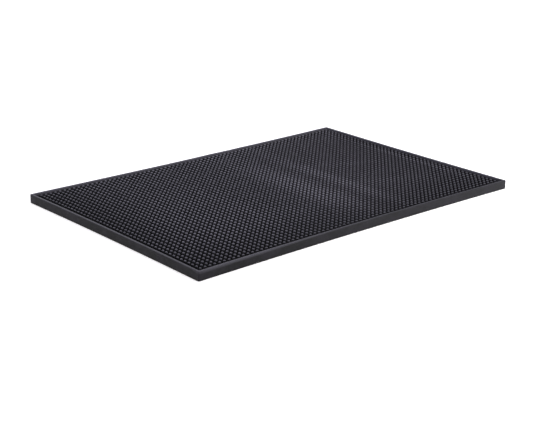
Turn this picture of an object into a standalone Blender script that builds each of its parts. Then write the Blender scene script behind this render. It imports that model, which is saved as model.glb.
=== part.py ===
"""A black moulded-rubber bar mat: a shallow tray whose floor is covered with small round pegs.

The mat is one flexible moulding, so its nodes are the regions of that moulding: the floor sheet,
the four mitred walls of the rim, and the rows of pegs. Each row of pegs is held here as one plain
bar of a peg's width and height. X runs along the mat, Y across it, and the origin is the middle of
its underside.
"""

import math

import bmesh
import bpy
from mathutils import Vector

# Driving dimensions, in metres.
MAT_LENGTH = 0.450
MAT_WIDTH = 0.300
MAT_HEIGHT = 0.010
CORNER_RADIUS = 0.0015
RIM_WIDTH = 0.0028
RIM_OUTER_EDGE_RADIUS = 0.0007
RIM_INNER_EDGE_RADIUS = 0.0006
FLOOR_THICKNESS = 0.003
PEG_PITCH = 0.006
PEGS_ALONG = 73
PEG_ROWS = 48
PEG_DIAMETER = 0.0032
PEG_TIP_DROP = 0.0005
PEG_TIP_ROUNDING = 0.001

# The clear gap left between neighbouring pieces.
PIECE_GAP = 0.0003

# How finely round stretches are divided.
CORNER_STEPS = 4
EDGE_STEPS = 4
ROW_END_STEPS = 6
TIP_STEPS = 2

# Faces that meet at more than this are shaded with a sharp edge between them.
SHARP_ANGLE = math.radians(40)

# Outward direction of each wall of the rim.
RIM_WALLS = {
    "rim_front": Vector((0, -1, 0)),
    "rim_back": Vector((0, 1, 0)),
    "rim_left": Vector((-1, 0, 0)),
    "rim_right": Vector((1, 0, 0)),
}


def clear_scene():
    for obj in list(bpy.data.objects):
        bpy.data.objects.remove(obj)


def rubber(name, colour, roughness):
    """A plain black rubber, as a Principled material."""
    material = bpy.data.materials.new(name)
    material.use_nodes = True
    shader = material.node_tree.nodes["Principled BSDF"]
    shader.inputs["Base Color"].default_value = (*colour, 1)
    shader.inputs["Roughness"].default_value = roughness
    shader.inputs["Metallic"].default_value = 0
    return material


def add_object(name, shape, material):
    """Puts a bmesh in the scene as a named object, smooth on its round stretches."""
    bmesh.ops.recalc_face_normals(shape, faces=shape.faces)
    mesh = bpy.data.meshes.new(name)
    shape.to_mesh(mesh)
    shape.free()
    mesh.shade_smooth()
    mesh.set_sharp_from_angle(angle=SHARP_ANGLE)
    mesh.materials.append(material)
    obj = bpy.data.objects.new(name, mesh)
    bpy.context.scene.collection.objects.link(obj)
    return obj


def quarter_arc(centre, radius, start_degrees, steps):
    """Points on a quarter turn clockwise from start_degrees, both ends included."""
    angles = [math.radians(start_degrees - 90 * step / steps) for step in range(steps + 1)]
    return [(centre[0] + radius * math.cos(a), centre[1] + radius * math.sin(a)) for a in angles]


def rounded_rectangle(length, width, radius, height):
    """The corner-rounded outline of a rectangle about the origin, as points at one height."""
    outline = []
    for quarter, (sign_x, sign_y) in enumerate(((1, 1), (-1, 1), (-1, -1), (1, -1))):
        centre_x = sign_x * (length / 2 - radius)
        centre_y = sign_y * (width / 2 - radius)
        for step in range(CORNER_STEPS + 1):
            angle = math.radians(90 * (quarter + step / CORNER_STEPS))
            x = centre_x + radius * math.cos(angle)
            y = centre_y + radius * math.sin(angle)
            outline.append(Vector((x, y, height)))
    return outline


def bridge_rings(shape, lower, upper):
    """Joins two rings of as many vertices with a band of quads."""
    for here in range(len(lower)):
        after = (here + 1) % len(lower)
        shape.faces.new((lower[here], lower[after], upper[after], upper[here]))


def rim_section():
    """The rim's cross-section as (distance in from the mat's edge, height), once round."""
    outer = RIM_OUTER_EDGE_RADIUS
    inner = RIM_INNER_EDGE_RADIUS
    outer_edge = quarter_arc((outer, MAT_HEIGHT - outer), outer, 180, EDGE_STEPS)
    inner_edge = quarter_arc((RIM_WIDTH - inner, MAT_HEIGHT - inner), inner, 90, EDGE_STEPS)
    return [(0, 0), *outer_edge, *inner_edge, (RIM_WIDTH, 0)]


def whole_rim():
    """The rim as one closed frame, before it is mitred into its four walls."""
    shape = bmesh.new()
    rings = []
    for inset, height in rim_section():
        outline = rounded_rectangle(
            MAT_LENGTH - 2 * inset, MAT_WIDTH - 2 * inset, CORNER_RADIUS, height
        )
        rings.append([shape.verts.new(point) for point in outline])
    for here in range(len(rings)):
        bridge_rings(shape, rings[here], rings[(here + 1) % len(rings)])
    return shape


def cut_mitre(shape, corner, direction):
    """Removes what lies beyond a vertical mitre plane at a corner, and closes the cut."""
    cut = bmesh.ops.bisect_plane(
        shape,
        geom=shape.verts[:] + shape.edges[:] + shape.faces[:],
        plane_co=corner - direction * PIECE_GAP / 2,
        plane_no=direction,
        clear_outer=True,
    )
    rim_edges = [item for item in cut["geom_cut"] if isinstance(item, bmesh.types.BMEdge)]
    bmesh.ops.contextual_create(shape, geom=rim_edges)


def build_rim_wall(name, outward, material):
    """One side of the rim, mitred at both of its corners."""
    along = outward.cross(Vector((0, 0, 1)))
    half_size = Vector((MAT_LENGTH / 2, MAT_WIDTH / 2, 0))
    shape = whole_rim()
    for end in (-1, 1):
        corner = (outward + end * along) * half_size
        cut_mitre(shape, corner, (end * along - outward).normalized())
    return add_object(name, shape, material)


def extrude_outlines(outlines):
    """A closed solid through stacked outlines of as many points, capped at both ends."""
    shape = bmesh.new()
    rings = [[shape.verts.new(point) for point in outline] for outline in outlines]
    for lower, upper in zip(rings, rings[1:]):
        bridge_rings(shape, lower, upper)
    shape.faces.new(rings[0])
    shape.faces.new(rings[-1])
    return shape


def build_floor_sheet(material):
    """The thin sheet inside the rim that carries the pegs."""
    inset = RIM_WIDTH + PIECE_GAP
    outlines = [
        rounded_rectangle(MAT_LENGTH - 2 * inset, MAT_WIDTH - 2 * inset, CORNER_RADIUS, height)
        for height in (0, FLOOR_THICKNESS)
    ]
    return add_object("floor_sheet", extrude_outlines(outlines), material)


def row_outline(radius, height):
    """A bar's outline seen from above: a slot shape that follows its end pegs."""
    half_span = PEG_PITCH * (PEGS_ALONG - 1) / 2
    outline = []
    for end in (1, -1):
        for step in range(ROW_END_STEPS + 1):
            angle = math.radians(180 * step / ROW_END_STEPS - 90)
            x = end * (half_span + radius * math.cos(angle))
            y = end * radius * math.sin(angle)
            outline.append(Vector((x, y, height)))
    return outline


def peg_row_outlines():
    """The bar's outlines from its foot up over the rounding of its top edge."""
    radius = PEG_DIAMETER / 2
    foot = FLOOR_THICKNESS + PIECE_GAP
    top = MAT_HEIGHT - PEG_TIP_DROP
    tip = quarter_arc(
        (radius - PEG_TIP_ROUNDING, top - PEG_TIP_ROUNDING), PEG_TIP_ROUNDING, 90, TIP_STEPS
    )
    return [row_outline(radius, foot)] + [row_outline(*point) for point in reversed(tip)]


def build_peg_row(number, material):
    """One row of pegs, numbered from the front of the mat to the back."""
    row = add_object(f"peg_row_{number:02d}", extrude_outlines(peg_row_outlines()), material)
    row.location.y = PEG_PITCH * (number - (PEG_ROWS + 1) / 2)
    return row


def build_mat():
    clear_scene()
    body_rubber = rubber("body_rubber", (0.030, 0.030, 0.032), 0.55)
    peg_rubber = rubber("peg_rubber", (0.034, 0.034, 0.037), 0.50)
    for name, outward in RIM_WALLS.items():
        build_rim_wall(name, outward, body_rubber)
    build_floor_sheet(body_rubber)
    for number in range(1, PEG_ROWS + 1):
        build_peg_row(number, peg_rubber)


build_mat()
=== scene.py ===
"""The looks of a black moulded-rubber bar mat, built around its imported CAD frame.

Every plain CAD solid is replaced by a finer moulded surface in the same place: the floor sheet, the
four rim walls, and the peg rows, whose plain bars become true round pegs. All the rubber follows
one gentle unevenness, so neighbouring pieces still meet where the soft mat isn't quite true.
"""

import math

import bmesh
import bpy
import numpy as np
from mathutils import Matrix, Vector


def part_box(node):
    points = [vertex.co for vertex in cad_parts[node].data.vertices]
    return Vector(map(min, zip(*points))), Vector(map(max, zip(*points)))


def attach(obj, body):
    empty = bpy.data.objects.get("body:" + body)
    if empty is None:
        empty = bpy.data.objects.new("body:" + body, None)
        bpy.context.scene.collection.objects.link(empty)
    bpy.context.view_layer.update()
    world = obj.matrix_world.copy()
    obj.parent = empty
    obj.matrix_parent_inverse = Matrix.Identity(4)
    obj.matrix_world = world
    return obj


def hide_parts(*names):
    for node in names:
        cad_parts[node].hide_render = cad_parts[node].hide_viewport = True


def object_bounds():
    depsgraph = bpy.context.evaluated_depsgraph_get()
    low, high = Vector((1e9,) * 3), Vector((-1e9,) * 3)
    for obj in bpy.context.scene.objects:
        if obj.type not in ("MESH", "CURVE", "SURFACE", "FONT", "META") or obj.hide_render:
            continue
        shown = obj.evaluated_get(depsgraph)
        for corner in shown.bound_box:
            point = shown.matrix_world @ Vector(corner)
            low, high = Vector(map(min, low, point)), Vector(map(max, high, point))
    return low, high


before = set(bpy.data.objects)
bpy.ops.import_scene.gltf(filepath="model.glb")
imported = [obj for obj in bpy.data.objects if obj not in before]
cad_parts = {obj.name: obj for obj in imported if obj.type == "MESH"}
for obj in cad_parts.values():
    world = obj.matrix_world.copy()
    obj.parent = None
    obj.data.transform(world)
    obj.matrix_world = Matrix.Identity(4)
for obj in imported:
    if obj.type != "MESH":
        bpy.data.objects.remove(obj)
cad_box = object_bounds()

MM = 0.001

# The mat's own dimensions, read from the frame. The floor and the rim walls meet here in the
# middle of the gap that the CAD leaves between them.
CAD_GAP = 0.3 * MM
HALF_LENGTH, HALF_WIDTH, HEIGHT = cad_box[1]
FLOOR_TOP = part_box("floor_sheet")[1].z
RIM_WIDTH = HALF_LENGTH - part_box("floor_sheet")[1].x - CAD_GAP / 2
ROW_NAMES = sorted(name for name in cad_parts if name.startswith("peg_row_"))
ROW_BOXES = [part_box(name) for name in ROW_NAMES]
ROW_MIDDLES = [(low.y + high.y) / 2 for low, high in ROW_BOXES]
PEG_PITCH = ROW_MIDDLES[1] - ROW_MIDDLES[0]
PEG_RADIUS = (ROW_BOXES[0][1].y - ROW_BOXES[0][0].y) / 2
PEG_TOP = ROW_BOXES[0][1].z
ROW_REACH = ROW_BOXES[0][1].x - PEG_RADIUS
PEGS_ALONG = round(2 * ROW_REACH / PEG_PITCH) + 1

# One peg's shape, and how many rows of pegs make one bank. The tip is an ellipse in section if
# its squareness is 2, and squarer above that.
ROWS_PER_BANK = 4
PEG_SIDES = 16
PEG_FOOT_FILLET = 0.5 * MM
PEG_FOOT_STEPS = 2
PEG_TAPER = 0.1 * MM
PEG_TIP_HEIGHT = 1.2 * MM
PEG_TIP_SQUARENESS = 2.3
PEG_TIP_STEPS = 6

# The rim walls' rounded edges, and the mat's rounded corners.
CORNER_RADIUS = 1.5 * MM
CORNER_STEPS = 8
RIM_OUTER_ROUNDING = 0.7 * MM
RIM_OUTER_STEPS = 6
RIM_INNER_ROUNDING = 0.6 * MM
RIM_INNER_STEPS = 4
RIM_FOOT_FILLET = 0.8 * MM
UNDERSIDE_ROUNDING = 0.3 * MM
UNDERSIDE_STEPS = 3

# Pegs and rim walls end in a skin that lies on the floor: how proud it stands, and how far its
# border goes down into the floor.
SKIN_LIFT = 0.02 * MM
SKIN_DEPTH = 0.3 * MM

# Points closer than this are one point, and faces that meet at more than this have a sharp edge.
MERGE_DISTANCE = 0.002 * MM
SHARP_ANGLE = math.radians(50)

# Outward direction of each wall of the rim.
RIM_WALLS = {
    "rim_front": Vector((0, -1, 0)),
    "rim_back": Vector((0, 1, 0)),
    "rim_left": Vector((-1, 0, 0)),
    "rim_right": Vector((1, 0, 0)),
}

# How far the soft rubber strays from its ideal shape: its long sides and its ends are drawn in at
# their middles, and its pegs lean and differ in height by chance.
SIDE_WAIST = 3.0 * MM
END_WAIST = 1.4 * MM
PEG_LEAN = 0.06 * MM
PEG_HEIGHT_SPREAD = 0.03 * MM

# Bands across the mat where it was once folded: (middle along the mat, half width, strength). The top
# stands a little proud there, and a painted highlight lies on the pegs' tips. The last band is a broad,
# faint one over most of the left half.
FOLD_AND_HIGHLIGHT_BANDS = (
    (27 * MM, 28 * MM, 1.0),
    (77 * MM, 14 * MM, 0.8),
    (206 * MM, 8 * MM, 0.4),
    (-74 * MM, 12 * MM, 0.2),
    (-130 * MM, 70 * MM, 0.3),
)
FOLD_LIFT = 0.2 * MM

# Faint painted highlight streaks across the pegs on a slant, on the mat's right half: (middle, half
# width, strength). A streak's middle is where its line would cross the mat's midline from front to back,
# and the slant is how far it comes forward for each step to the right.
HIGHLIGHT_STREAK_SLANT = 0.45
HIGHLIGHT_STREAKS = (
    (76 * MM, 9 * MM, 0.25),
    (-3 * MM, 10 * MM, 0.18),
)

# The mesh attribute that holds each point's place before the mat settled, and the seed that the
# pegs' chance strays are drawn from.
IDEAL_PLACE = "ideal_place"
STRAY_SEED = 11

# The rubber's linear colours: the body's, then the pegs'.
BODY_DARK = (0.0036, 0.0038, 0.0032)
BODY_PURPLISH = (0.0092, 0.0083, 0.0104)
BODY_MOTTLE = (0.0120, 0.0118, 0.0130)
BODY_SCUFF = (0.0280, 0.0275, 0.0305)
# The next colour is painted light, which pales the body towards the right end.
BODY_PAINTED_LIGHT = (0.0240, 0.0232, 0.0255)
# The next colour is partly wear and partly a painted highlight on the rim's top and inner lip.
BODY_WORN_AND_HIGHLIT = (0.0680, 0.0661, 0.0747)
# The next colour is painted shade for the gutter inside the rim.
GUTTER_PAINTED_SHADE = (0.0012, 0.0011, 0.0013)
# The tips' colours are paler than the rubber, partly from wear and partly a painted reflection.
TIP_DARK = (0.0590, 0.0577, 0.0665)
TIP_PALE = (0.0900, 0.0880, 0.1010)
TIP_CLOUD = (0.0860, 0.0840, 0.0960)
# The next colour is painted shade on the duller tips along the front and at the left end.
TIP_DULL_SHADED = (0.0430, 0.0420, 0.0482)
TIP_GREY = (0.0400, 0.0390, 0.0450)
# The next colour is a painted highlight on the tips, in the fold bands and slanting streaks.
TIP_PAINTED_HIGHLIGHT = (0.1260, 0.1230, 0.1400)
# The next colour is the black rubber darkened further with painted shade between the pegs.
FOOT_SHADE_BLACK = (0.0022, 0.0021, 0.0025)
# The next colour is a lighter painted shade for the feet towards the right.
FOOT_LIGHTER_SHADE = (0.0130, 0.0125, 0.0145)

# Where the mat is seen from: off its left front corner and a little above, through a long lens.
CAMERA_AZIMUTH = math.radians(-41.28)
CAMERA_ELEVATION = math.radians(19.32)
CAMERA_ROLL = math.radians(0.69)
CAMERA_DISTANCE = 1.363
CAMERA_TARGET = Vector((-0.0600, -0.0570, 0))
CAMERA_LENS_MM = 86.32

# The studio: a pale floor just below the mat, which glows a little, and a faintly cool surround,
# which dims from low to high as its direction's upward part goes through SURROUND_DIMMING. Then
# softboxes as (name, place, target, size, watts).
STUDIO_FLOOR_SIZE = 12
STUDIO_FLOOR_DROP = 0.1 * MM
STUDIO_FLOOR_COLOUR = (0.93, 0.93, 0.93)
STUDIO_FLOOR_GLOW = (1, 1, 0.8)
STUDIO_FLOOR_GLOW_STRENGTH = 0.3
STUDIO_FLOOR_ROUGHNESS = 0.9
STUDIO_FLOOR_SPECULAR = 0.1
SURROUND_LOW = (1.08, 1.06, 1.25)
SURROUND_HIGH = (0.82, 0.80, 0.95)
SURROUND_DIMMING = (0.25, 0.6)
SOFTBOXES = (
    ("overhead_softbox", Vector((0, 0.6, 1.8)), Vector((0, 0, 0)), 1.5, 14),
    ("right_softbox", Vector((0.45, -0.75, 0.45)), Vector((0.2, -0.15, 0)), 0.4, 6),
    ("back_softbox", Vector((0.9, 2.2, 1.0)), Vector((-0.1, 0, 0)), 1.2, 7),
)


# ------------------------------------------------------------ unevenness of the soft rubber


def fold_height(x):
    """Height of the faint waves along the mat, which cross it from front to back."""
    height = np.zeros_like(x)
    for middle, half_width, strength in FOLD_AND_HIGHLIGHT_BANDS:
        share = np.clip(np.abs(x - middle) / half_width, 0, 1)
        height += FOLD_LIFT * strength * (1 + np.cos(math.pi * share)) / 2
    return height


def settle(mesh):
    """Moves a mesh from its ideal shape to where the soft mat lies: waisted, with faint waves.

    The ideal place of each point stays with the mesh, for its material's patterns to follow.
    """
    flat = np.empty(3 * len(mesh.vertices), np.float32)
    mesh.vertices.foreach_get("co", flat)
    ideal = mesh.attributes.new(IDEAL_PLACE, "FLOAT_VECTOR", "POINT")
    ideal.data.foreach_set("vector", flat)
    x, y, z = flat.reshape(-1, 3).T.astype(float)
    squeeze_x = 1 - END_WAIST / HALF_LENGTH * (1 - (y / HALF_WIDTH) ** 2)
    squeeze_y = 1 - SIDE_WAIST / HALF_WIDTH * (1 - (x / HALF_LENGTH) ** 2)
    lift = fold_height(x) * z / HEIGHT
    settled = np.column_stack((x * squeeze_x, y * squeeze_y, z + lift))
    mesh.vertices.foreach_set("co", settled.astype(np.float32).ravel())


# ------------------------------------------------------------ mesh helpers


def quarter_arc(centre, radius, start, steps, turn=-90):
    """Points on a quarter turn from an angle in degrees, clockwise unless turn is 90."""
    angles = np.radians(start + turn * np.linspace(0, 1, steps + 1))
    return [(centre[0] + radius * np.cos(a), centre[1] + radius * np.sin(a)) for a in angles]


def strip(lower, upper, closed):
    """Quads between two lines of as many points, given by number or as themselves."""
    spans = len(lower) if closed else len(lower) - 1
    after = np.roll(np.arange(len(lower)), -1)
    return [(lower[i], lower[after[i]], upper[after[i]], upper[i]) for i in range(spans)]


def border_ring(shape):
    """The points once round the border of an open skin, in the same order each run."""
    after = {}
    for edge in shape.edges:
        if edge.is_boundary:
            corner = edge.link_loops[0]
            after[corner.vert] = corner.link_loop_next.vert
    ring = [next(iter(after))]
    while len(ring) < len(after):
        ring.append(after[ring[-1]])
    return ring


def close_below(shape, depth):
    """Turns an open skin into a closed slab: its border goes down to a flat base."""
    ring = border_ring(shape)
    lowered = [shape.verts.new(point.co - Vector((0, 0, depth))) for point in ring]
    for quad in strip(ring, lowered, closed=True):
        shape.faces.new(quad)
    shape.faces.new(lowered)


def add_piece(name, points, faces, material, nodes, close_depth=0):
    """A smooth closed mesh that stands for CAD nodes and rides on the mat."""
    mesh = bpy.data.meshes.new(name)
    mesh.from_pydata(points, [], faces)
    shape = bmesh.new()
    shape.from_mesh(mesh)
    bmesh.ops.remove_doubles(shape, verts=shape.verts, dist=MERGE_DISTANCE)
    if close_depth:
        close_below(shape, close_depth)
    bmesh.ops.recalc_face_normals(shape, faces=shape.faces)
    shape.to_mesh(mesh)
    shape.free()
    settle(mesh)
    mesh.shade_smooth()
    mesh.set_sharp_from_angle(angle=SHARP_ANGLE)
    mesh.materials.append(material)
    piece = bpy.data.objects.new(name, mesh)
    bpy.context.scene.collection.objects.link(piece)
    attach(piece, "root")
    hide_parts(*nodes)


# ------------------------------------------------------------ the floor sheet


def half_length_at(y, inset):
    """Half the length of the corner-rounded mat outline at a distance y across, some way in."""
    past_straight = max(abs(y) - (HALF_WIDTH - inset - CORNER_RADIUS), 0)
    bulge = math.sqrt(max(CORNER_RADIUS**2 - past_straight**2, 0))
    return HALF_LENGTH - inset - CORNER_RADIUS + bulge


def floor_lines():
    """Places across the mat of the floor's lines: even ones, then closer ones round the corners."""
    straight = HALF_WIDTH - RIM_WIDTH - CORNER_RADIUS
    turn = np.radians(np.linspace(0, 90, CORNER_STEPS + 1))
    corner = straight + CORNER_RADIUS * np.sin(turn)
    middle = np.linspace(-straight, straight, round(2 * straight / PEG_PITCH) + 1)
    return [*-corner[::-1], *middle[1:-1], *corner]


def build_floor(material):
    """The sheet under the pegs, whose edge meets the rim walls and whose base is the underside."""
    spans = round(2 * HALF_LENGTH / PEG_PITCH)
    points, lines = [], []
    for y in floor_lines():
        reach = half_length_at(y, RIM_WIDTH)
        lines.append(range(len(points), len(points) + spans + 1))
        points += [(x, y, FLOOR_TOP) for x in np.linspace(-reach, reach, spans + 1)]
    faces = []
    for lower, upper in zip(lines, lines[1:]):
        faces += strip(lower, upper, closed=False)
    add_piece("floor_moulding", points, faces, material, ["floor_sheet"], FLOOR_TOP)


# ------------------------------------------------------------ the rim walls


def rim_section():
    """The rim's cross-section once round, as (distance in from the mat's edge, height)."""
    under = UNDERSIDE_ROUNDING
    outer = RIM_OUTER_ROUNDING
    inner = RIM_INNER_ROUNDING
    foot = RIM_FOOT_FILLET
    foot_centre = (RIM_WIDTH + foot, FLOOR_TOP + SKIN_LIFT + foot)
    return [
        *quarter_arc((under, under), under, 270, UNDERSIDE_STEPS),
        *quarter_arc((outer, HEIGHT - outer), outer, 180, RIM_OUTER_STEPS),
        *quarter_arc((RIM_WIDTH - inner, HEIGHT - inner), inner, 90, RIM_INNER_STEPS),
        *quarter_arc(foot_centre, foot, 180, RIM_INNER_STEPS, turn=90),
        (RIM_WIDTH + foot, FLOOR_TOP - SKIN_DEPTH),
        (RIM_WIDTH, FLOOR_TOP - SKIN_DEPTH),
        (RIM_WIDTH, 0),
    ]


def wall_line(inset, half_along, half_out):
    """A wall's line some way in from its face, mitre to mitre, as (along, outward) points."""
    reach = half_along - inset - CORNER_RADIUS
    face = half_out - inset - CORNER_RADIUS
    turn = np.radians(np.linspace(45, 90, CORNER_STEPS // 2 + 1))
    corner = np.column_stack((reach + CORNER_RADIUS * np.cos(turn), face + CORNER_RADIUS * np.sin(turn)))
    stations = np.linspace(reach, -reach, round(2 * half_along / PEG_PITCH))[1:-1]
    straight = np.column_stack((stations, np.full(len(stations), face + CORNER_RADIUS)))
    return np.vstack((corner, straight, corner[::-1] * (-1, 1)))


def build_wall(name, outward, material):
    """One wall of the rim, swept along its side and closed on the mitre at both corners."""
    along = Vector((0, 0, 1)).cross(outward)
    half_size = Vector((HALF_LENGTH, HALF_WIDTH, 0))
    half_along = abs(along.dot(half_size))
    half_out = abs(outward.dot(half_size))
    points, lines = [], []
    for inset, height in rim_section():
        line = wall_line(inset, half_along, half_out)
        lines.append(range(len(points), len(points) + len(line)))
        points += [along * s + outward * o + Vector((0, 0, height)) for s, o in line]
    faces = [[line[0] for line in lines], [line[-1] for line in lines]]
    for here in range(len(lines)):
        faces += strip(lines[here], lines[(here + 1) % len(lines)], closed=False)
    add_piece(name + "_moulding", points, faces, material, [name])


# ------------------------------------------------------------ the pegs


def peg_profile():
    """(radius, height) up one peg: foot fillet, faintly tapered side, rounded tip."""
    fillet_centre = (PEG_RADIUS + PEG_FOOT_FILLET, FLOOR_TOP + SKIN_LIFT + PEG_FOOT_FILLET)
    fillet = quarter_arc(fillet_centre, PEG_FOOT_FILLET, 270, PEG_FOOT_STEPS)
    power = 2 / PEG_TIP_SQUARENESS
    tip = []
    for angle in np.radians(90 * np.arange(PEG_TIP_STEPS) / PEG_TIP_STEPS):
        radius = (PEG_RADIUS - PEG_TAPER) * math.cos(angle) ** power
        height = PEG_TOP - PEG_TIP_HEIGHT * (1 - math.sin(angle) ** power)
        tip.append((radius, height))
    return fillet + tip


def peg_cell():
    """A pitch-wide square of floor skin with one peg, about the origin, as points and faces.

    Its points come ring by ring: the square's border, then the peg from its foot to its middle.
    """
    angles = np.radians(360 * np.arange(PEG_SIDES) / PEG_SIDES)
    circle = np.column_stack((np.cos(angles), np.sin(angles)))
    square = circle / np.abs(circle).max(axis=1, keepdims=True)
    outlines = [(square * PEG_PITCH / 2, FLOOR_TOP + SKIN_LIFT)]
    outlines += [(circle * radius, height) for radius, height in peg_profile()]
    points = [(x, y, height) for outline, height in outlines for x, y in outline]
    points.append((0, 0, PEG_TOP))
    rings = [range(i * PEG_SIDES, (i + 1) * PEG_SIDES) for i in range(len(outlines))]
    faces = []
    for lower, upper in zip(rings, rings[1:]):
        faces += strip(lower, upper, closed=True)
    middle = len(points) - 1
    faces += [(here, after, middle) for here, after in zip(rings[-1], np.roll(rings[-1], -1))]
    return np.array(points), faces


def build_peg_bank(number, chance, material):
    """Some neighbouring rows of pegs on one skin of floor, each peg a little off true."""
    cell, cell_faces = peg_cell()
    rows = slice(number * ROWS_PER_BANK, (number + 1) * ROWS_PER_BANK)
    columns = np.linspace(-ROW_REACH, ROW_REACH, PEGS_ALONG)
    places = np.array([(x, y, 0) for y in ROW_MIDDLES[rows] for x in columns])
    spread = (PEG_LEAN, PEG_LEAN, PEG_HEIGHT_SPREAD)
    strays = chance.normal(0, spread, (len(places), 3))
    rise = ((cell[:, 2] - cell[0, 2]) / (PEG_TOP - cell[0, 2])) ** 2
    points = cell + places[:, None] + strays[:, None] * rise[:, None]
    faces = []
    for peg in range(len(places)):
        first = peg * len(cell)
        faces += [[first + corner for corner in face] for face in cell_faces]
    name = f"peg_bank_{number + 1:02d}"
    nodes = ROW_NAMES[rows]
    add_piece(name, points.reshape(-1, 3), faces, material, nodes, SKIN_DEPTH)


# ------------------------------------------------------------ shader nodes

# Input and output numbers of a Mix node's sockets when it mixes colours.
MIX_SHARE_INPUT = 0
MIX_COLOUR_INPUTS = (6, 7)
MIX_COLOUR_OUTPUT = 2

# How much a noise's finer features count beside its larger ones.
NOISE_ROUGHNESS = 0.55

# How much of a soft band's half width has the band's full strength.
BAND_CORE = 0.3


def add_node(tree, kind, inputs, **settings):
    """Adds a shader node. An input is another node's output, which is linked, or a plain value."""
    node = tree.nodes.new(kind)
    for setting, value in settings.items():
        setattr(node, setting, value)
    for socket, value in inputs.items():
        if isinstance(value, bpy.types.NodeSocket):
            tree.links.new(value, node.inputs[socket])
        else:
            node.inputs[socket].default_value = value
    return node


def noise(tree, place, size, detail=3):
    """A cloudy value about a half, whose largest features are about one size across."""
    inputs = {"Vector": place, "Scale": 1 / size, "Detail": detail, "Roughness": NOISE_ROUGHNESS}
    return add_node(tree, "ShaderNodeTexNoise", inputs).outputs["Fac"]


def in_sizes(tree, place, sizes):
    """Coordinates counted in a size of their own along each axis, which stretches a pattern."""
    inputs = {"Vector": place, "Scale": [1 / size for size in sizes]}
    return add_node(tree, "ShaderNodeMapping", inputs, vector_type="POINT").outputs["Vector"]


def ramp(tree, value, start, end, low=0.0, high=1.0):
    """Goes from low to high as a value goes from start to end, and stays there past them."""
    inputs = {"Value": value, "From Min": start, "From Max": end, "To Min": low, "To Max": high}
    return add_node(tree, "ShaderNodeMapRange", inputs).outputs["Result"]


def math_of(tree, operation, *values):
    """The result of one operation on values or linked outputs."""
    return add_node(tree, "ShaderNodeMath", dict(enumerate(values)), operation=operation).outputs[0]


def product(tree, first, *others):
    """All the values multiplied together."""
    for other in others:
        first = math_of(tree, "MULTIPLY", first, other)
    return first


def mix(tree, share, first, second):
    """A blend of two colours by a linked share. A colour is a node's output, or plain linear RGB."""
    inputs = {MIX_SHARE_INPUT: share}
    for number, colour in zip(MIX_COLOUR_INPUTS, (first, second)):
        linked = isinstance(colour, bpy.types.NodeSocket)
        inputs[number] = colour if linked else (*colour, 1)
    node = add_node(tree, "ShaderNodeMix", inputs, data_type="RGBA")
    return node.outputs[MIX_COLOUR_OUTPUT]


def bands(tree, coordinate, shapes):
    """A sum of soft bands across one coordinate, each with a middle, half width and strength."""
    total = 0.0
    for middle, half_width, strength in shapes:
        away = math_of(tree, "ABSOLUTE", math_of(tree, "SUBTRACT", coordinate, middle))
        band = ramp(tree, away, BAND_CORE * half_width, half_width, strength, 0)
        total = math_of(tree, "ADD", band, total)
    return total


def add_bump(tree, shader, height, strength, depth):
    """Roughens a shader's surface with a height pattern, which is depth deep where it is 1."""
    inputs = {"Height": height, "Strength": strength, "Distance": depth}
    normal = add_node(tree, "ShaderNodeBump", inputs).outputs["Normal"]
    tree.links.new(normal, shader.inputs["Normal"])


def new_rubber(name, specular):
    """A material with its node tree, its shader, and its place coordinates, whole and split."""
    material = bpy.data.materials.new(name)
    material.use_nodes = True
    tree = material.node_tree
    shader = tree.nodes["Principled BSDF"]
    shader.inputs["Specular IOR Level"].default_value = specular
    place = add_node(tree, "ShaderNodeAttribute", {}, attribute_name=IDEAL_PLACE).outputs["Vector"]
    x, y, height = add_node(tree, "ShaderNodeSeparateXYZ", {"Vector": place}).outputs
    return material, tree, shader, place, x, y, height


# ------------------------------------------------------------ the body's rubber

# Fades here and below are (start, end, value at the start, value at the end), and go from 0 to 1
# where no values are given.

# The gutter inside the rim carries painted shade, from the rim's inner face inward and more so further
# down, but the mat's base doesn't.
GUTTER_INSET_FADE = (RIM_WIDTH - 0.4 * MM, RIM_WIDTH)
GUTTER_HEIGHT_FADE = (HEIGHT - 2.5 * MM, HEIGHT - 5 * MM)
GUTTER_BASE_FADE = (0.2 * FLOOR_TOP, 0.5 * FLOOR_TOP, 0, 0.85)

# The rim's inner lip and its top are paler, partly worn and partly a painted highlight: down to the
# depth given below, and most down to the full depth. At the left end of the front wall it goes the extra
# depth further down. The front wall has less of it towards the right, and the left wall a little less.
LIP_INSET_FADE = (RIM_WIDTH - 0.8 * MM, RIM_WIDTH - 0.2 * MM)
LIP_HEIGHT_FADE = (HEIGHT - 3.5 * MM, HEIGHT - 1.0 * MM)
WEAR_AND_HIGHLIGHT_DEPTH = 0.7 * MM
WEAR_AND_HIGHLIGHT_EXTRA_DEPTH = 2.5 * MM
WEAR_AND_HIGHLIGHT_FULL_DEPTH = 0.1 * MM
WEAR_AND_HIGHLIGHT_STRENGTH = 0.6
FRONT_WALL_FADE = (-0.9 * HALF_WIDTH, -HALF_WIDTH)
LEFT_END_FADE = (-0.2 * HALF_LENGTH, -0.9 * HALF_LENGTH)
FRONT_LESS_WORN_AND_HIGHLIT_FADE = (-0.7 * HALF_LENGTH, 0.2 * HALF_LENGTH, 0, 0.9)
LEFT_LESS_WORN_AND_HIGHLIT_FADE = (-0.95 * HALF_LENGTH, -HALF_LENGTH, 0, 0.3)

# The body's patterns: how large their features are, and which part of the noise shows.
CLOUD_SIZE = 14 * MM
CLOUD_CONTRAST = (0.4, 0.6)
MOTTLE_SIZE = 2.6 * MM
MOTTLE_CONTRAST = (0.35, 0.65)
MOTTLE_STRENGTH = 0.4
WALL_SCUFF_SIZES = (17 * MM, 17 * MM, 0.7 * MM)
WALL_SCUFF_FADE = (0.55, 0.75, 0, 0.4)
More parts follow.
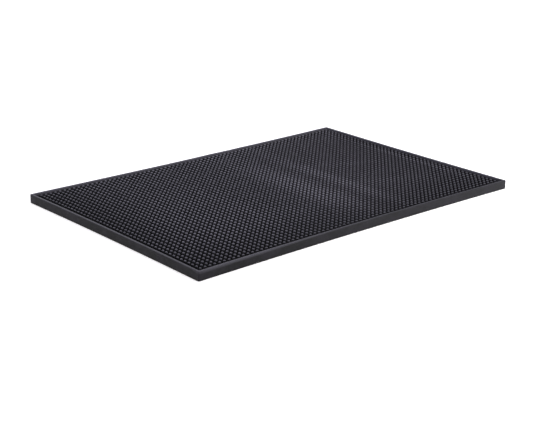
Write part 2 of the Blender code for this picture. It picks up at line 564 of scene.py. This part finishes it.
# The body is painted paler towards the right end, a painted light.
BODY_PAINTED_LIGHT_FADE = (-HALF_LENGTH, HALF_LENGTH, 0, 0.45)
GRAIN_SIZE = 0.4 * MM
PIT_SIZE = 1.4 * MM
BODY_BUMP_STRENGTH = 0.5
BODY_BUMP_DEPTH = 0.1 * MM
BODY_SPECULAR = 0.11
BODY_ROUGHNESS = (0.48, 0.62)


def edge_inset(tree, x, y):
    """How far in a place is from the nearest edge of the mat."""
    from_end = math_of(tree, "SUBTRACT", HALF_LENGTH, math_of(tree, "ABSOLUTE", x))
    from_side = math_of(tree, "SUBTRACT", HALF_WIDTH, math_of(tree, "ABSOLUTE", y))
    return math_of(tree, "MINIMUM", from_end, from_side)


def gutter_shade_depth(tree, inset, height):
    """How deep a place is in the gutter inside the rim, where painted shade darkens the rubber."""
    inside = ramp(tree, inset, *GUTTER_INSET_FADE)
    low = ramp(tree, height, *GUTTER_HEIGHT_FADE)
    above_base = ramp(tree, height, *GUTTER_BASE_FADE)
    return product(tree, inside, low, above_base)


def rim_wear_and_highlight(tree, x, y, inset, height):
    """How far the rim is paler, partly worn and partly a painted highlight: its inner lip, and its top.

    It goes deepest at the front's left end; the front wall has less of it towards the right, and the
    left wall a little less.
    """
    inner_side = ramp(tree, inset, *LIP_INSET_FADE)
    inner_lip = product(tree, inner_side, ramp(tree, height, *LIP_HEIGHT_FADE))
    frontward = ramp(tree, y, *FRONT_WALL_FADE)
    leftward = ramp(tree, x, *LEFT_END_FADE)
    extra_depth = product(tree, frontward, leftward, WEAR_AND_HIGHLIGHT_EXTRA_DEPTH)
    wear_and_highlight_foot = math_of(tree, "SUBTRACT", HEIGHT - WEAR_AND_HIGHLIGHT_DEPTH, extra_depth)
    top = ramp(tree, height, wear_and_highlight_foot, HEIGHT - WEAR_AND_HIGHLIGHT_FULL_DEPTH, 0, WEAR_AND_HIGHLIGHT_STRENGTH)
    worn_and_highlit = math_of(tree, "MAXIMUM", top, inner_lip)
    front_less_worn_and_highlit = product(tree, frontward, ramp(tree, x, *FRONT_LESS_WORN_AND_HIGHLIT_FADE))
    left_less_worn_and_highlit = ramp(tree, x, *LEFT_LESS_WORN_AND_HIGHLIT_FADE)
    less_worn_and_highlit = math_of(tree, "MAXIMUM", left_less_worn_and_highlit, front_less_worn_and_highlit)
    return product(tree, worn_and_highlit, math_of(tree, "SUBTRACT", 1, less_worn_and_highlit))


def body_rubber():
    """Dense black rubber with a mould grain, cloudy patches and scuffs along its sides. Painted light
    pales it towards the right end, painted shade darkens the gutter, and its edges are partly worn and
    partly a painted highlight.
    """
    material, tree, shader, place, x, y, height = new_rubber("body_rubber_moulded", BODY_SPECULAR)
    inset = edge_inset(tree, x, y)
    clouds = ramp(tree, noise(tree, place, CLOUD_SIZE), *CLOUD_CONTRAST)
    mottle = ramp(tree, noise(tree, place, MOTTLE_SIZE, detail=4), *MOTTLE_CONTRAST)
    along_walls = in_sizes(tree, place, WALL_SCUFF_SIZES)
    pale_streaks = ramp(tree, noise(tree, along_walls, 1, detail=5), *WALL_SCUFF_FADE)
    colour = mix(tree, clouds, BODY_DARK, BODY_PURPLISH)
    colour = mix(tree, product(tree, mottle, MOTTLE_STRENGTH), colour, BODY_MOTTLE)
    colour = mix(tree, pale_streaks, colour, BODY_SCUFF)
    # Painted light: the body grows paler towards the right end.
    colour = mix(tree, ramp(tree, x, *BODY_PAINTED_LIGHT_FADE), colour, BODY_PAINTED_LIGHT)
    # Painted shade in the gutter inside the rim.
    colour = mix(tree, gutter_shade_depth(tree, inset, height), colour, GUTTER_PAINTED_SHADE)
    # Partly wear and partly a painted highlight on the rim's top and inner lip.
    colour = mix(tree, rim_wear_and_highlight(tree, x, y, inset, height), colour, BODY_WORN_AND_HIGHLIT)
    tree.links.new(colour, shader.inputs["Base Color"])
    tree.links.new(ramp(tree, mottle, 0, 1, *BODY_ROUGHNESS), shader.inputs["Roughness"])
    grain = noise(tree, place, GRAIN_SIZE, detail=2)
    pits = noise(tree, place, PIT_SIZE)
    relief = math_of(tree, "ADD", grain, pits)
    add_bump(tree, shader, relief, BODY_BUMP_STRENGTH, BODY_BUMP_DEPTH)
    return material


# ------------------------------------------------------------ the pegs' rubber

# The tips are duller along the front of the mat and at its left end: rougher, and darker there with
# painted shade.
FRONT_DULL_AND_SHADE_FADE = (-HALF_WIDTH, -0.5 * HALF_WIDTH, 1, 0)
LEFT_DULL_AND_SHADE_FADE = (-HALF_LENGTH, -0.8 * HALF_LENGTH, 0.6, 0)

# They darken towards the right end, less so at the back, and at the left end, but not at the front.
RIGHT_GREY_FADE = (0.2 * HALF_LENGTH, HALF_LENGTH)
RIGHT_GREY_BACK_FADE = (0.5 * HALF_WIDTH, 0.95 * HALF_WIDTH, 1, 0.25)
LEFT_GREY_FADE = (-0.6 * HALF_LENGTH, -HALF_LENGTH, 0, 0.9)
LEFT_GREY_FRONT_FADE = (-0.9 * HALF_WIDTH, 0.3 * HALF_WIDTH)

# The painted highlight at the folds fades towards the back and the front, and the painted highlight
# streaks start and end within the mat's right half.
HIGHLIGHT_BACK_FADE = (0.1 * HALF_WIDTH, 0.6 * HALF_WIDTH, 1, 0.25)
HIGHLIGHT_FRONT_FADE = (-0.85 * HALF_WIDTH, -0.3 * HALF_WIDTH, 0.15, 1)
HIGHLIGHT_STREAKS_START_FADE = (0.25 * HALF_LENGTH, 0.4 * HALF_LENGTH)
HIGHLIGHT_STREAKS_END_FADE = (0.6 * HALF_LENGTH, 0.85 * HALF_LENGTH, 1, 0)

# A tip's paler colour, partly wear and partly a painted reflection, starts TIP_GREY_DEPTH below its top
# and is full at TIP_FULL_DEPTH; below it lies the feet's painted shade. On the outermost pegs' outer
# side, which faces the rim, it starts higher up, so the painted shade reaches higher there.
TIP_GREY_DEPTH = 1.9 * MM
TIP_FULL_DEPTH = 0.4 * MM
OUTER_SIDE_SHADE_RISE = 1.3 * MM

# The feet's painted shade is lighter towards the right, but not at the front, where it stays darkest by
# the front wall.
FOOT_LIGHTER_SHADE_FADE = (-HALF_LENGTH, HALF_LENGTH)
FOOT_LIGHTER_SHADE_FRONT_FADE = (-0.95 * HALF_WIDTH, -0.5 * HALF_WIDTH)

# The pegs' patterns and finish. Their clouds are drawn out across the mat.
TIP_CLOUD_SIZES = (25 * MM, 83 * MM, 83 * MM)
TIP_CLOUD_FADE = (0.35, 0.65, 0, 0.35)
PEG_GRAIN_SIZE = 0.45 * MM
PEG_BUMP_STRENGTH = 0.3
PEG_BUMP_DEPTH = 0.06 * MM
PEG_SPECULAR = 0.15
PEG_FOOT_ROUGHNESS = 0.8
PEG_TIP_ROUGHNESS = (0.4, 0.5)


def peg_tone(tree, place):
    """A chance value from 0 to 1 that is the same all over one peg."""
    half_pitch = (PEG_PITCH / 2, 0, 0)
    moved = add_node(tree, "ShaderNodeVectorMath", {0: place, 1: half_pitch}, operation="ADD")
    steps = {0: moved.outputs[0], 1: (PEG_PITCH, PEG_PITCH, 1)}
    cell = add_node(tree, "ShaderNodeVectorMath", steps, operation="SNAP")
    return add_node(tree, "ShaderNodeTexWhiteNoise", {"Vector": cell.outputs[0]}).outputs["Value"]


def peg_dullness_and_shade(tree, x, y):
    """How dull the pegs' tips are, rougher and darker with painted shade: most at the front of the mat,
    and some at its left end.
    """
    front = ramp(tree, y, *FRONT_DULL_AND_SHADE_FADE)
    left = ramp(tree, x, *LEFT_DULL_AND_SHADE_FADE)
    return math_of(tree, "MAXIMUM", front, left)


def peg_greyness(tree, x, y):
    """How far the pegs' tips have darkened: towards the right end, and at the left end."""
    rightward = ramp(tree, x, *RIGHT_GREY_FADE)
    right = product(tree, rightward, ramp(tree, y, *RIGHT_GREY_BACK_FADE))
    leftward = ramp(tree, x, *LEFT_GREY_FADE)
    left = product(tree, leftward, ramp(tree, y, *LEFT_GREY_FRONT_FADE))
    return math_of(tree, "MAXIMUM", right, left)


def peg_painted_highlight(tree, x, y):
    """How much painted highlight lies on the pegs' tips: in bands at the folds, and in slanting streaks.
    """
    back_fade = ramp(tree, y, *HIGHLIGHT_BACK_FADE)
    front_fade = ramp(tree, y, *HIGHLIGHT_FRONT_FADE)
    fade = math_of(tree, "MINIMUM", back_fade, front_fade)
    fold_highlight = product(tree, bands(tree, x, FOLD_AND_HIGHLIGHT_BANDS), fade)
    slanted = math_of(tree, "ADD", y, product(tree, x, HIGHLIGHT_STREAK_SLANT))
    pale_streaks_start = ramp(tree, x, *HIGHLIGHT_STREAKS_START_FADE)
    pale_streaks_end = ramp(tree, x, *HIGHLIGHT_STREAKS_END_FADE)
    pale_streaks = product(tree, bands(tree, slanted, HIGHLIGHT_STREAKS), pale_streaks_start, pale_streaks_end)
    return math_of(tree, "ADD", fold_highlight, pale_streaks)


def peg_tip(tree, x, y, height):
    """Where a peg has its paler tip, partly wear and partly a painted reflection: its tip, and less far
    down on the side that faces the rim, where painted shade reaches higher.
    """
    outer_middle = HALF_LENGTH - ROW_REACH
    inset = edge_inset(tree, x, y)
    # Painted shade: on the outermost pegs' side that faces the rim, the dark foot reaches higher.
    rim_side_shade = ramp(tree, inset, outer_middle, outer_middle - PEG_RADIUS, 0, OUTER_SIDE_SHADE_RISE)
    grey_foot = math_of(tree, "ADD", rim_side_shade, PEG_TOP - TIP_GREY_DEPTH)
    return ramp(tree, height, grey_foot, PEG_TOP - TIP_FULL_DEPTH)


def peg_foot_colour(tree, x, y):
    """Near black with painted shade, lighter towards the right, and staying darkest along the front."""
    rightward = ramp(tree, x, *FOOT_LIGHTER_SHADE_FADE)
    backward = ramp(tree, y, *FOOT_LIGHTER_SHADE_FRONT_FADE)
    return mix(tree, product(tree, rightward, backward), FOOT_SHADE_BLACK, FOOT_LIGHTER_SHADE)


def peg_rubber():
    """The pegs' rubber: matt and dark at the foot with painted shade, smoother and paler at the tips,
    partly worn and partly a painted reflection.
    """
    material, tree, shader, place, x, y, height = new_rubber("peg_rubber_moulded", PEG_SPECULAR)
    dull_and_shaded = peg_dullness_and_shade(tree, x, y)
    cloud_place = in_sizes(tree, place, TIP_CLOUD_SIZES)
    clouds = ramp(tree, noise(tree, cloud_place, 1), *TIP_CLOUD_FADE)
    tip_colour = mix(tree, peg_tone(tree, place), TIP_DARK, TIP_PALE)
    tip_colour = mix(tree, clouds, tip_colour, TIP_CLOUD)
    # Painted shade: the tips darken along the front and at the left end.
    tip_colour = mix(tree, dull_and_shaded, tip_colour, TIP_DULL_SHADED)
    tip_colour = mix(tree, peg_greyness(tree, x, y), tip_colour, TIP_GREY)
    # Painted highlight: pale bands at the folds and slanting streaks across the tips.
    tip_colour = mix(tree, peg_painted_highlight(tree, x, y), tip_colour, TIP_PAINTED_HIGHLIGHT)
    # Painted reflection on the tips, partly wear too, over painted shade at the feet.
    tip = peg_tip(tree, x, y, height)
    colour = mix(tree, tip, peg_foot_colour(tree, x, y), tip_colour)
    tree.links.new(colour, shader.inputs["Base Color"])
    tip_roughness = ramp(tree, dull_and_shaded, 0, 1, *PEG_TIP_ROUGHNESS)
    roughness = ramp(tree, tip, 0, 1, PEG_FOOT_ROUGHNESS, tip_roughness)
    tree.links.new(roughness, shader.inputs["Roughness"])
    grain = noise(tree, place, PEG_GRAIN_SIZE, detail=2)
    add_bump(tree, shader, grain, PEG_BUMP_STRENGTH, PEG_BUMP_DEPTH)
    return material


# ------------------------------------------------------------ the studio


def build_stage():
    """A plain pale floor that the mat lies on."""
    half = STUDIO_FLOOR_SIZE / 2
    mesh = bpy.data.meshes.new("studio_floor")
    corners = [(-half, -half), (half, -half), (half, half), (-half, half)]
    mesh.from_pydata([(x, y, -STUDIO_FLOOR_DROP) for x, y in corners], [], [(0, 1, 2, 3)])
    material = bpy.data.materials.new("studio_floor")
    material.use_nodes = True
    shader = material.node_tree.nodes["Principled BSDF"]
    shader.inputs["Base Color"].default_value = (*STUDIO_FLOOR_COLOUR, 1)
    shader.inputs["Roughness"].default_value = STUDIO_FLOOR_ROUGHNESS
    shader.inputs["Specular IOR Level"].default_value = STUDIO_FLOOR_SPECULAR
    shader.inputs["Emission Color"].default_value = (*STUDIO_FLOOR_GLOW, 1)
    shader.inputs["Emission Strength"].default_value = STUDIO_FLOOR_GLOW_STRENGTH
    mesh.materials.append(material)
    stage = bpy.data.objects.new("studio_floor", mesh)
    bpy.context.scene.collection.objects.link(stage)


def light_world():
    """A bright surround with a faint cool tint, brightest near the horizon."""
    world = bpy.data.worlds.new("studio_surround")
    world.use_nodes = True
    tree = world.node_tree
    direction = add_node(tree, "ShaderNodeTexCoord", {}).outputs["Generated"]
    upward = add_node(tree, "ShaderNodeSeparateXYZ", {"Vector": direction}).outputs["Z"]
    colour = mix(tree, ramp(tree, upward, *SURROUND_DIMMING), SURROUND_LOW, SURROUND_HIGH)
    tree.links.new(colour, tree.nodes["Background"].inputs["Color"])
    bpy.context.scene.world = world


def add_softbox(name, location, target, size, power):
    """A square softbox that shines from one place towards another."""
    data = bpy.data.lights.new(name, "AREA")
    data.size = size
    data.energy = power
    softbox = bpy.data.objects.new(name, data)
    softbox.location = location
    softbox.rotation_euler = (location - target).to_track_quat("Z", "Y").to_euler()
    softbox.visible_camera = False
    bpy.context.scene.collection.objects.link(softbox)


def direction_from(azimuth, elevation):
    """The unit direction of a viewpoint. Azimuth 0 is in front of the mat, and 90 is at its right."""
    level = math.cos(elevation)
    return Vector((math.sin(azimuth) * level, -math.cos(azimuth) * level, math.sin(elevation)))


def add_camera():
    """The camera, at its distance from the target, turned a little about its own line of sight."""
    away = direction_from(CAMERA_AZIMUTH, CAMERA_ELEVATION)
    data = bpy.data.cameras.new("camera")
    data.lens = CAMERA_LENS_MM
    camera = bpy.data.objects.new("camera", data)
    upright = away.to_track_quat("Z", "Y").to_matrix().to_4x4()
    placed = Matrix.Translation(CAMERA_TARGET + away * CAMERA_DISTANCE)
    camera.matrix_world = placed @ upright @ Matrix.Rotation(CAMERA_ROLL, 4, "Z")
    bpy.context.scene.collection.objects.link(camera)
    bpy.context.scene.camera = camera


# ------------------------------------------------------------ the whole scene

body = body_rubber()
build_floor(body)
for wall_name, outward_direction in RIM_WALLS.items():
    build_wall(wall_name, outward_direction, body)

pegs = peg_rubber()
peg_chance = np.random.default_rng(STRAY_SEED)
for bank in range(len(ROW_NAMES) // ROWS_PER_BANK):
    build_peg_bank(bank, peg_chance, pegs)

build_stage()
light_world()
for softbox in SOFTBOXES:
    add_softbox(*softbox)
add_camera()
bpy.context.scene.view_settings.view_transform = "Standard"
